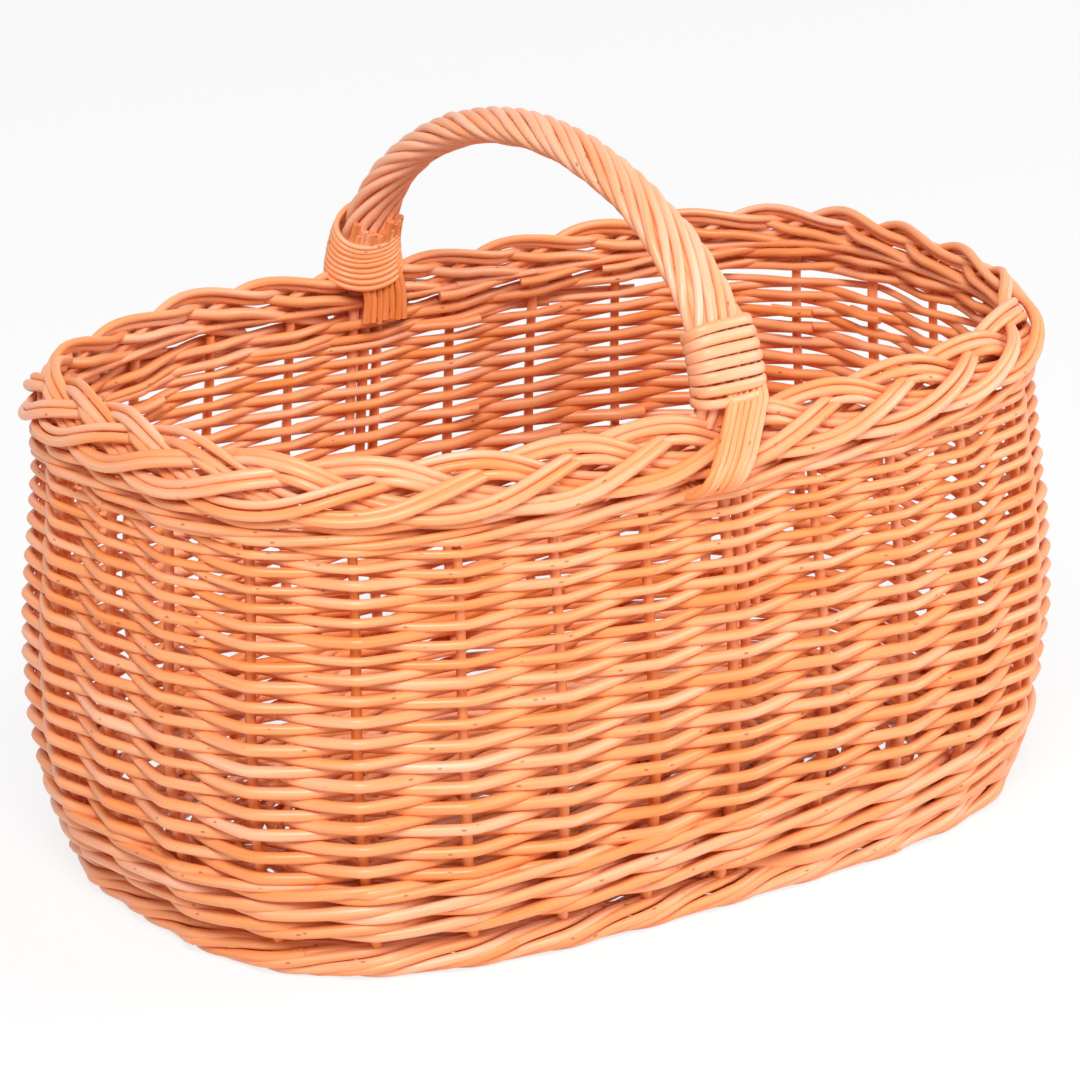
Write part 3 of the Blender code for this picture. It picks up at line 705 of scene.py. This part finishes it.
def makeBorder():
    look = borderPlait
    radius = look["rodRadius"]
    firstStep, lastStep = [round(look[end] * look["stepsPerStake"]) for end in ("firstStake", "lastStake")]
    ownTravel = np.arange(firstStep, lastStep) / look["stepsPerStake"]
    rods = {node: [] for node in borderNodes}
    for index in range(stakeCount):
        # leg 0 starts over stake index, and each leg spans two stakes
        travel = index + ownTravel
        legs = (travel - index) / 2
        phase = math.pi * legs - math.pi / 2
        down, out = plaitPath(phase)
        # from the lower side of the strand to the upper as the rod gets older
        lay = np.interp(legs, np.arange(len(look["lay"])) + 0.5, look["lay"])
        beside = lay * 2 * radius * look["spread"]
        slope = plaitSwing * np.cos(phase) * math.pi / 2
        lean = np.hypot(slope, stakePitch)
        down = down + beside * stakePitch / lean
        travelShift = -beside * slope / lean / stakePitch
        # the rod rises out of the wall between the strands, and its cut end is tucked inside under them
        born = eased((look["bornLeg"] - legs) / look["bornLength"])
        out = out * (1 - born) - look["bornUnder"] * born
        cut = eased((legs - look["cutLeg"]) / look["cutLength"])
        out = out * (1 - cut) - look["cutUnder"] * cut
        down = down * (1 - cut) + look["cutDown"] * cut
        centre, downward, outward = borderFrame(travel + travelShift)
        down = down + easedNoise(travel, *look["downNoise"])
        out = out + easedNoise(travel, *look["outNoise"])
        points = centre + downward * down[:, None] + outward * out[:, None]
        taper = np.linspace(*look["taper"], len(travel)) * draw.normal(1, look["radiusNoise"])
        rod = oneRod(points, radius * taper, outward, paler=look["paler"])
        rods[borderNodes[index % len(borderNodes)]].append(rod)
    for number, node in enumerate(borderNodes):
        rodMesh(f"borderStrand_{number + 1}", rods[node], "honey_willow", [node], sides=12)


makeBorder()
print("border plaited")


# Foot border: thick rods turned round each other, flat where the basket stands

footRope = {
    "pairs": 4,
    "pairGap": 0.085,
    "rodRadius": 0.00225,
    "radiusNoise": 0.06,
    "ringWide": 0.0052,
    "ringHigh": 0.0049,
    "laysPerLap": 7,
    "steps": 640,
    "rodShare": 0.24,
    "endLap": 0.012,
    "startUnder": 0.35,  # how far a rod's start dips under the one before it, and its end stands out
    "endOver": 0.12,
    "scallop": 0.0010,
    "inset": 0.0050,
}
heelSize = np.array(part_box("foot_border")[1])[:2]
heelHalf = heelSize - footRope["inset"]


def footPoints(share, turn, ring, radius):
    # points of a rod that winds round the foot's middle line, flat where the basket stands
    look = footRope
    angle = angleAt(share * stakeCount)
    normal = ovalNormal(*heelHalf, angle)
    reach = look["ringWide"] * ring * np.cos(turn) + look["scallop"] * np.cos(fullTurn * stakeCount * share)
    flat = oval(*heelHalf, angle) + normal * reach[:, None]
    level = look["rodRadius"] + look["ringHigh"] * (1 + ring * np.sin(turn))
    level = np.maximum(level, radius * (1 + rodLook["knotSwelling"]))
    return np.concatenate([flat, level[:, None]], axis=-1)


def makeFootBorder():
    look = footRope
    pieces = round(1 / look["rodShare"])
    rods = []
    for pair in range(look["pairs"]):
        for mate in (-1, 1):
            first = draw.uniform(0, 1)
            for piece in range(pieces):
                start = first + piece / pieces
                share = np.linspace(start, start + 1 / pieces + look["endLap"], look["steps"] // pieces)
                lay = look["laysPerLap"] * share + pair / look["pairs"] + mate * look["pairGap"] / 2
                # each new rod starts under the one before it, which ends in a cut tip
                fromStart, toEnd = (share - share[0]) / look["endLap"], (share[-1] - share) / look["endLap"]
                ring = 1 - look["startUnder"] * (1 - eased(fromStart)) + look["endOver"] * (1 - eased(toEnd))
                radius = look["rodRadius"] * draw.normal(1, look["radiusNoise"])
                rods.append(oneRod(footPoints(share, fullTurn * lay, ring, radius), radius, upward))
    rodMesh("footBorder", rods, "honey_willow", ["foot_border"])


makeFootBorder()
print("foot border turned")


# Base: long and cross sticks in a slath, woven round with thin rod

baseWeave = {
    "stickRadius": 0.0027,
    "weaverRadius": 0.0020,
    "level": 0.0118,
    "crossSticks": 5,
    "crossSpacing": 0.045,
    "crossFan": 1.35,
    "longSpacing": 0.015,
    "longFan": 0.5,
    "cornerReach": 0.86,
    "slathLength": 0.210,
    "slathWidth": 0.044,
    "slathRows": (-0.0195, -0.0105, -0.0048, 0.0048, 0.0105, 0.0195),
    "pitch": 0.0044,
    "inset": 0.007,
    "weaverInset": 0.003,
    "rodCrossings": 54,
    "rodOverlap": 2,
    "between": 0.4,  # where a stick's route has a point on its way through the slath
    "stickSteps": 40,
    "slathSteps": 60,
    "crossingSteps": 7,
    "search": (-0.5, 1.2, 900),  # shares along a half stick, to find where it crosses an oval
}
baseHalf = heelSize - baseWeave["inset"]


def crossPlaces():
    count = baseWeave["crossSticks"]
    return [(index - (count - 1) / 2) * baseWeave["crossSpacing"] for index in range(count)]


def baseArms():
    # half sticks from the slath to the base's edge, and the bare corners between them
    look = baseWeave
    slathEnd, slathSide = look["slathLength"] / 2, look["slathWidth"] / 2
    corner = baseHalf * look["cornerReach"]
    arms = []
    for side in (-1, 1):
        for x in crossPlaces():
            arms.append(((x, side * slathSide), (x * look["crossFan"], side * baseHalf[1]), True))
        for row in (-1, 0, 1):
            outer = side * baseHalf[0], row * look["longFan"] * baseHalf[1]
            arms.append(((side * slathEnd, row * look["longSpacing"]), outer, True))
        for other in (-1, 1):
            arms.append(((side * slathEnd, other * slathSide), (side * corner[0], other * corner[1]), False))
    return sorted(arms, key=lambda arm: math.atan2(arm[0][1], arm[0][0]))


def armMeets(arm, half):
    # where a half stick crosses the oval of these half sizes
    inner, outer = np.array(arm[0]), np.array(arm[1])
    along = np.linspace(*baseWeave["search"])
    inside = (np.abs((inner + (outer - inner) * along[:, None]) / half) ** ovalPower).sum(axis=1)
    first = np.argmin(inside)
    return inner + (outer - inner) * np.interp(1.0, inside[first:], along[first:])


def makeBaseSticks(arms):
    look = baseWeave
    level = look["level"]
    rods = []
    for arm in arms:
        if arm[2]:
            # each stick runs on through the slath, to where its opposite arm starts
            tip = armMeets(arm, baseHalf)
            inner = np.array(arm[0])
            isCross = abs(inner[1]) > look["longSpacing"]
            opposite = inner * (1, -1) if isCross else inner * (-1, 1)
            between = inner * (1 - look["between"]) + opposite * look["between"]
            route = [(*place, level) for place in (opposite, between, inner, tip)]
            rods.append(oneRod(curveThrough(route, look["stickSteps"]), look["stickRadius"], upward))
    rodMesh("baseSticks", rods, "stick_willow", ["base_sticks"])


def makeBaseWeaver(arms):
    look = baseWeave
    level, radius = look["level"], look["weaverRadius"]
    reach = look["stickRadius"] + radius
    turns = int((baseHalf[1] - look["slathWidth"] / 2) / look["pitch"])
    lines = []
    for turn in range(turns):
        crossed = 0
        for index, arm in enumerate(arms):
            inset = look["pitch"] * (turn + index / len(arms)) + look["weaverInset"]
            over = 0
            if arm[2]:
                over = reach if (turn + crossed) % 2 == 0 else -reach
                crossed += 1
            lines.append((*armMeets(arm, baseHalf - inset), level + over))
    lines = np.array(lines)
    rods = []
    for first in range(0, len(lines) - 1, look["rodCrossings"]):
        part = lines[first:first + look["rodCrossings"] + look["rodOverlap"]]
        if len(part) > 2:
            rods.append(oneRod(curveThrough(part, look["crossingSteps"] * len(part)), radius, upward))
    # the rods that fill the slath, over and under its cross sticks
    for number, y in enumerate(look["slathRows"]):
        route = [(-look["slathLength"] / 2, y, level)]
        for index, x in enumerate(crossPlaces()):
            route.append((x, y, level + (reach if (index + number) % 2 else -reach)))
        route.append((look["slathLength"] / 2, y, level))
        rods.append(oneRod(curveThrough(route, look["slathSteps"]), radius, upward))
    rodMesh("baseWeaver", rods, "peeled_willow", ["base_weaver"], sides=8)


makeBaseSticks(baseArms())
makeBaseWeaver(baseArms())
print("base woven")


# Handle: rods laid round the bow as a long rope

handleRope = {
    "rods": 10,
    "groups": 8,
    "rodRadius": 0.0021,
    "radiusNoise": 0.03,
    "taper": (0.96, 1.06),
    "turns": 2.6,
    "evening": 0.05,
    "turnNoise": (0.06, 0.03),
    "liftNoise": (0.04, 0.0002),
    "paler": 0.50,
    "steps": 190,
    "archSteps": 1441,
    "power": 1.88,
    "halfSpan": 0.129,
    "footLevel": 0.222,
    "topLevel": 0.3063,
    "sunk": 0.010,
    "apexAside": 0.003,
    "apexForward": 0.003,
    "footAside": 0.0045,
    "wide": 0.0081,  # half sizes of the ring of rods, in the middle and at both feet
    "high": 0.0057,
    "frontWide": 0.0128,
    "frontHigh": 0.0057,
    "backWide": 0.0125,
    "backHigh": 0.0062,
    "frontReach": 0.140,
    "backReach": 0.085,
}
handleSide = np.array([1.0, 0.0, 0.0])


def handleLine():
    # the arch of the handle from its front foot to its back one, both sunk into the border
    look = handleRope
    angle = np.linspace(0, math.pi, look["archSteps"])
    bend = 2 / look["power"]
    across = np.sign(np.cos(angle)) * np.abs(np.cos(angle)) ** bend
    x = look["apexAside"] * np.sin(angle) + look["footAside"] * across
    y = look["apexForward"] * np.sin(angle) - look["halfSpan"] * across
    z = look["footLevel"] + (look["topLevel"] - look["footLevel"]) * np.abs(np.sin(angle)) ** bend
    dense = np.stack([x, y, z], axis=-1)
    below = look["sunk"] * upward
    dense = np.concatenate([dense[:1] - below, dense, dense[-1:] - below])
    reach = reachAlong(dense)
    wanted = np.linspace(0, reach[-1], look["steps"])
    line = pointsAt(wanted, reach, dense)
    return line, -unit(np.cross(unit(np.gradient(line, axis=0)), handleSide)), wanted


line, lineOut, lineReach = handleLine()


def handleSizes(reach):
    # half width and half thickness of the ring of rods, flattened towards both feet
    look = handleRope
    front = eased(1 - reach / look["frontReach"])
    back = eased(1 - (lineReach[-1] - reach) / look["backReach"])
    wide, high = look["wide"], look["high"]
    wide = wide + (look["frontWide"] - wide) * front + (look["backWide"] - wide) * back
    high = high + (look["frontHigh"] - high) * front + (look["backHigh"] - high) * back
    return wide, high


def roundHandle(reach, angle, extra=0.0, power=2.0):
    # a point round the handle's middle line, and the direction out of the handle there
    centre = pointsAt(reach, lineReach, line)
    out = unit(pointsAt(reach, lineReach, lineOut))
    wide, high = handleSizes(reach)
    wide, high = wide + extra, high + extra
    angle = angle - (wide - high) / (wide + high) / 2 * np.sin(2 * angle)
    cosine, sine = np.cos(angle), np.sin(angle)
    bend = 2 / power
    upper = (np.sign(cosine) * np.abs(cosine) ** bend * high)[:, None] * out
    aside = (np.sign(sine) * np.abs(sine) ** bend * wide)[:, None] * handleSide
    facing = (cosine * wide)[:, None] * out + (sine * high)[:, None] * handleSide
    return centre + upper + aside, unit(facing)


def makeHandle():
    look = handleRope
    share = lineReach / lineReach[-1]
    twist = look["turns"] * (share - look["evening"] * np.sin(fullTurn * share))
    rods = []
    for index in range(look["rods"]):
        angle = fullTurn * (index / look["rods"] + twist) + easedNoise(lineReach, *look["turnNoise"])
        points, out = roundHandle(lineReach, angle, easedNoise(lineReach, *look["liftNoise"]))
        # every second rod is laid the other way round
        thin, full = look["taper"]
        taper = np.linspace(full, thin, len(points)) if index % 2 else np.linspace(thin, full, len(points))
        radius = look["rodRadius"] * taper * draw.normal(1, look["radiusNoise"])
        rods.append(oneRod(points, radius, out, paler=look["paler"]))
    for wrap in range(look["groups"]):
        mine = rods[wrap::look["groups"]]
        rodMesh(f"handleRods_{wrap + 1}", mine, "peeled_willow", [f"handle_wrap_{wrap + 1}"], sides=12)


bowEnds = {
    "coreInset": 0.0010,
    "sticks": ((1.0, 0.100), (3.2, 0.135)),  # place beside the handle stake in pair halves, and lower end
    "radius": (0.0021, 0.0026),
    "steps": 24,
}


def makeBow():
    # the core under the rods, and the sticks beside the handle stakes that it ends in
    look = bowEnds
    wide, high = handleSizes(lineReach)
    high = high - look["coreInset"]
    bow = [oneRod(line, high, lineOut, wide=(wide - look["coreInset"]) / high, knots=False)]
    radius = np.linspace(*look["radius"], look["steps"])
    for foot in (0, halfRound):
        for place, bottom in look["sticks"]:
            level = np.linspace(bottom, borderLevel, look["steps"])
            points, out = wall(np.full(look["steps"], foot + place * pairHalf), level)
            bow.append(oneRod(points, radius, out))
    rodMesh("handleBow", bow, "stick_willow", ["handle_bow"])


makeHandle()
makeBow()
print("handle wound")


# Binding collars

frontCollar = {
    "turns": 6.75,
    "firstTurn": -0.45,
    "width": 0.0046,
    "thickness": 0.0024,
    "start": 0.0108,
    "pitch": 0.0046,
    "lean": -0.06,
    "aside": 0.0,
    "dip": 0.0,
    "flare": 0.0,
    "flareTurns": 4,
    "squareness": 2.7,
    "paler": 0.0,
}
backCollar = {
    "turns": 9.2,
    "firstTurn": 0.0,
    "width": 0.0027,
    "thickness": 0.0027,
    "start": 0.0058,
    "pitch": 0.0025,
    "lean": 0.10,
    "aside": -0.0015,
    "dip": 0.0055,
    "flare": 0.0020,
    "flareTurns": 9,
    "squareness": 2.2,
    "paler": 0.1,
}
binding = {"stepsPerTurn": 48, "reachNoise": (0.3, 0.00015), "widthNoise": (0.6, 0.05)}


def makeCollar(name, look, fromBack, node, more=()):
    # skein wound round the foot of the handle, each turn beside the last
    steps = binding["stepsPerTurn"]
    turn = look["firstTurn"] + np.arange(round(look["turns"] * steps) + 1) / steps
    angle = fullTurn * turn
    reach = look["start"] + look["pitch"] * turn
    # the wider lowest turns, and the whole collar leaning to one side
    flare = look["flare"] * np.clip(1 - (turn - look["firstTurn"]) / look["flareTurns"], 0, 1)
    wide = handleSizes(reach)[0]
    reach = reach + look["lean"] * wide * np.sin(angle) + look["dip"] * np.cos(angle)
    reach = reach + easedNoise(turn, *binding["reachNoise"])
    if fromBack:
        reach = lineReach[-1] - reach
    extra = handleRope["rodRadius"] + look["thickness"] / 2 + flare
    points, out = roundHandle(reach, angle, extra, look["squareness"])
    points[:, 0] += look["aside"]
    radius = look["width"] / 2 * (1 + easedNoise(turn, *binding["widthNoise"]))
    flatness = look["thickness"] / look["width"]
    skein = oneRod(points, radius, out, thick=flatness, paler=look["paler"], knots=False)
    rodMesh(name, [skein, *more], "split_skein", [node], sides=14)


backTips = {
    "count": 14,
    "from": 1.95,
    "to": 4.2,
    "radius": 0.0016,
    "radiusNoise": 0.08,
    "low": 0.016,
    "high": 0.0305,
    "highNoise": 0.0025,
    "steps": 10,
}


def collarTips():
    # cut ends of rods that stick out of the back collar
    look = backTips
    rods = []
    for angle in np.linspace(look["from"], look["to"], look["count"]):
        high = draw.normal(look["high"], look["highNoise"])
        reach = lineReach[-1] - np.linspace(look["low"], high, look["steps"])
        extra = handleRope["rodRadius"] + look["radius"] / 2
        points, out = roundHandle(reach, np.full(look["steps"], angle), extra)
        rods.append(oneRod(points, look["radius"] * draw.normal(1, look["radiusNoise"]), out, knots=False))
    return rods


makeCollar("frontBinding", frontCollar, False, "front_collar")
makeCollar("backBinding", backCollar, True, "back_collar", collarTips())
print("collars wound")


# Lashing bands: seven rods side by side, from under each collar over the border

lashing = {
    "rods": 7,
    "rodRadius": 0.00148,
    "fullness": 1.02,
    "radiusNoise": 0.05,
    "fan": 0.12,
    "sweepShare": 0.9,
    "raggedEnd": 0.0008,
    "steps": 50,
    "sway": (12, 0.0002),
}
# routes: out from the middle of the border, and up from it
outerRoute = [
    (0.0000, 0.0190), (0.0032, 0.0150), (0.0058, 0.0100), (0.0092, 0.0035), (0.0128, -0.0035),
    (0.0150, -0.0095), (0.0140, -0.0145), (0.0080, -0.0185), (-0.0010, -0.0165),
]
innerRoute = [
    (-0.0125, 0.0270), (-0.0137, 0.0190), (-0.0150, 0.0120), (-0.0152, 0.0060), (-0.0146, -0.0020),
    (-0.0135, -0.0125),
]


def makeLashing(name, route, back, aside, sweep, paler, node):
    look = lashing
    rods = []
    for index in range(look["rods"]):
        beside = (index - (look["rods"] - 1) / 2) * 2 * look["rodRadius"]
        places = []
        for number, (out, up) in enumerate(route):
            share = number / (len(route) - 1)
            x = aside + beside * (1 + look["fan"] * share) + sweep * eased(share / look["sweepShare"])
            places.append((x, -(borderHalfWidth + out), borderLevel + up))
        if route is innerRoute:
            # the rods of an inner band end at slightly different levels
            places[-1] = (*places[-1][:2], places[-1][2] + draw.normal(0, look["raggedEnd"]))
        points = curveThrough(places, look["steps"])
        points[:, 0] += easedNoise(np.arange(float(look["steps"])), *look["sway"])
        if back:
            points = points * np.array([-1, -1, 1])
        hint = unit(np.cross(unit(np.gradient(points, axis=0)), handleSide))
        radius = look["rodRadius"] * draw.normal(look["fullness"], look["radiusNoise"])
        rods.append(oneRod(points, radius, hint, paler=paler, knots=False))
    rodMesh(name, rods, "split_skein", [node])


makeLashing("frontOuterLashing", outerRoute, False, 0.0085, -0.0245, 0.05, "front_outer_lashing")
makeLashing("frontInnerLashing", innerRoute, False, 0.0050, 0.0, 0.05, "front_inner_lashing")
makeLashing("backOuterLashing", outerRoute, True, 0.0060, -0.0080, 0.05, "back_outer_lashing")
# the back inner band is toned 0.35 deeper than the others: painted shade, standing in for the shade inside
# the basket where it lies
makeLashing("backInnerLashing", innerRoute, True, 0.0055, -0.0055, -0.35, "back_inner_lashing")
print("lashings laid")


# Floor, light and camera

studio = {
    "floorSize": 12.0,
    "floorColour": 0.92,
    "floorGlow": 0.82,
    "worldStrength": 0.35,
    "middle": (0, 0, 0.12),
    "keyPlace": (-1.5, -2.3, 3.0),
    "keySize": 1.6,
    "keyPower": 140.0,
    "fillPlace": (2.6, -1.6, 1.4),
    "fillSize": 1.8,
    "fillPower": 46.0,
}
white = (1, 1, 1, 1)


def backgroundRays(tree):
    # 1 for the rays that show the white background: to the camera, in reflections and through clear pieces
    path = tree.nodes.new("ShaderNodeLightPath")
    seen = path.outputs["Is Camera Ray"]
    for ray in ("Is Glossy Ray", "Is Transmission Ray"):
        either = tree.nodes.new("ShaderNodeMath")
        either.operation = "MAXIMUM"
        tree.links.new(seen, either.inputs[0])
        tree.links.new(path.outputs[ray], either.inputs[1])
        seen = either.outputs[0]
    return seen


def makeFloor():
    mesh = bpy.data.meshes.new("studioFloor")
    half = studio["floorSize"] / 2
    corners = [(-half, -half, 0), (half, -half, 0), (half, half, 0), (-half, half, 0)]
    mesh.from_pydata(corners, [], [(0, 1, 2, 3)])
    floor = placed("studioFloor", mesh)
    material = bpy.data.materials.new("floorWhite")
    material.use_nodes = True
    tree = material.node_tree
    tree.nodes.clear()
    diffuse = tree.nodes.new("ShaderNodeBsdfDiffuse")
    diffuse.inputs["Color"].default_value = (*[studio["floorColour"]] * 3, 1)
    glow = tree.nodes.new("ShaderNodeEmission")
    glow.inputs["Color"].default_value = white
    share = tree.nodes.new("ShaderNodeMath")
    share.operation = "MULTIPLY"
    share.inputs[1].default_value = studio["floorGlow"]
    tree.links.new(backgroundRays(tree), share.inputs[0])
    mix = tree.nodes.new("ShaderNodeMixShader")
    output = tree.nodes.new("ShaderNodeOutputMaterial")
    tree.links.new(share.outputs[0], mix.inputs["Fac"])
    tree.links.new(diffuse.outputs[0], mix.inputs[1])
    tree.links.new(glow.outputs[0], mix.inputs[2])
    tree.links.new(mix.outputs[0], output.inputs["Surface"])
    mesh.materials.append(material)


def makeWorld():
    world = bpy.data.worlds.new("studioWorld")
    bpy.context.scene.world = world
    world.use_nodes = True
    tree = world.node_tree
    background = tree.nodes["Background"]
    background.inputs["Color"].default_value = white
    level = tree.nodes.new("ShaderNodeMapRange")
    level.inputs["To Min"].default_value = studio["worldStrength"]
    level.inputs["To Max"].default_value = 1.0
    tree.links.new(backgroundRays(tree), level.inputs["Value"])
    tree.links.new(level.outputs["Result"], background.inputs["Strength"])


def makeLamp(kind):
    name = f"{kind}Lamp"
    lamp = bpy.data.lights.new(name, "AREA")
    lamp.size = studio[f"{kind}Size"]
    lamp.energy = studio[f"{kind}Power"]
    holder = placed(name, lamp)
    holder.location = studio[f"{kind}Place"]
    towards = Vector(studio["middle"]) - holder.location
    holder.rotation_euler = towards.to_track_quat("-Z", "Y").to_euler()


view = {
    "azimuth": -34.2915,
    "elevation": 19.1904,
    "roll": -1.0388,
    "distance": 2.4672,
    "lens": 190.76,
    "sensor": 36,
    "shiftX": -0.00375,
    "shiftY": 0.01219,
}


def makeCamera():
    azimuth, elevation = math.radians(view["azimuth"]), math.radians(view["elevation"])
    level = math.cos(elevation)
    back = Vector((math.sin(azimuth) * level, -math.cos(azimuth) * level, math.sin(elevation)))
    data = bpy.data.cameras.new("photoCamera")
    data.lens = view["lens"]
    data.sensor_width = view["sensor"]
    data.shift_x = view["shiftX"]
    data.shift_y = view["shiftY"]
    camera = placed("photoCamera", data)
    camera.location = Vector(studio["middle"]) + back * view["distance"]
    turn = (-back).to_track_quat("-Z", "Y").to_matrix()
    camera.rotation_euler = (turn @ Matrix.Rotation(math.radians(view["roll"]), 3, "Z")).to_euler()
    bpy.context.scene.camera = camera


makeFloor()
makeWorld()
makeLamp("key")
makeLamp("fill")
makeCamera()
bpy.context.scene.view_settings.view_transform = "Standard"
print("studio set")
